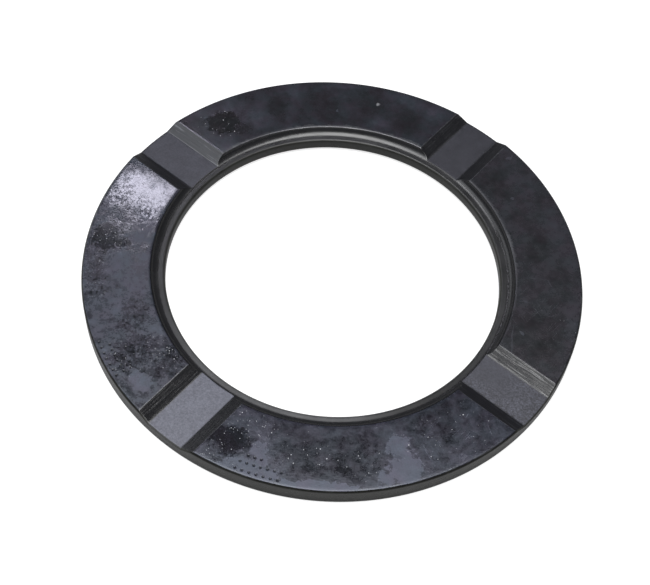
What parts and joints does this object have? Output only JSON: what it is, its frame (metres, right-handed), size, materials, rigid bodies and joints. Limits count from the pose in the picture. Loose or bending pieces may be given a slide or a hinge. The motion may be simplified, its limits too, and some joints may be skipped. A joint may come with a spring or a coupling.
{
  "type": "adjusting washer",
  "caption": "Flat steel thrust washer with a large bore, a hollow recess round the bore and wide shallow oil slots milled straight across one face.",
  "frame": {"origin": "centre of the bore on the plain back face", "axes": "+Z along the bore axis, out of the slotted thrust face; the slots run along X and Y"},
  "size_m": [0.15, 0.15, 0.0062],
  "materials": {
    "steel": "oiled black oxide, satin"
  },
  "bodies": {
    "root": {"washer": "steel"}
  },
  "joints": []
}
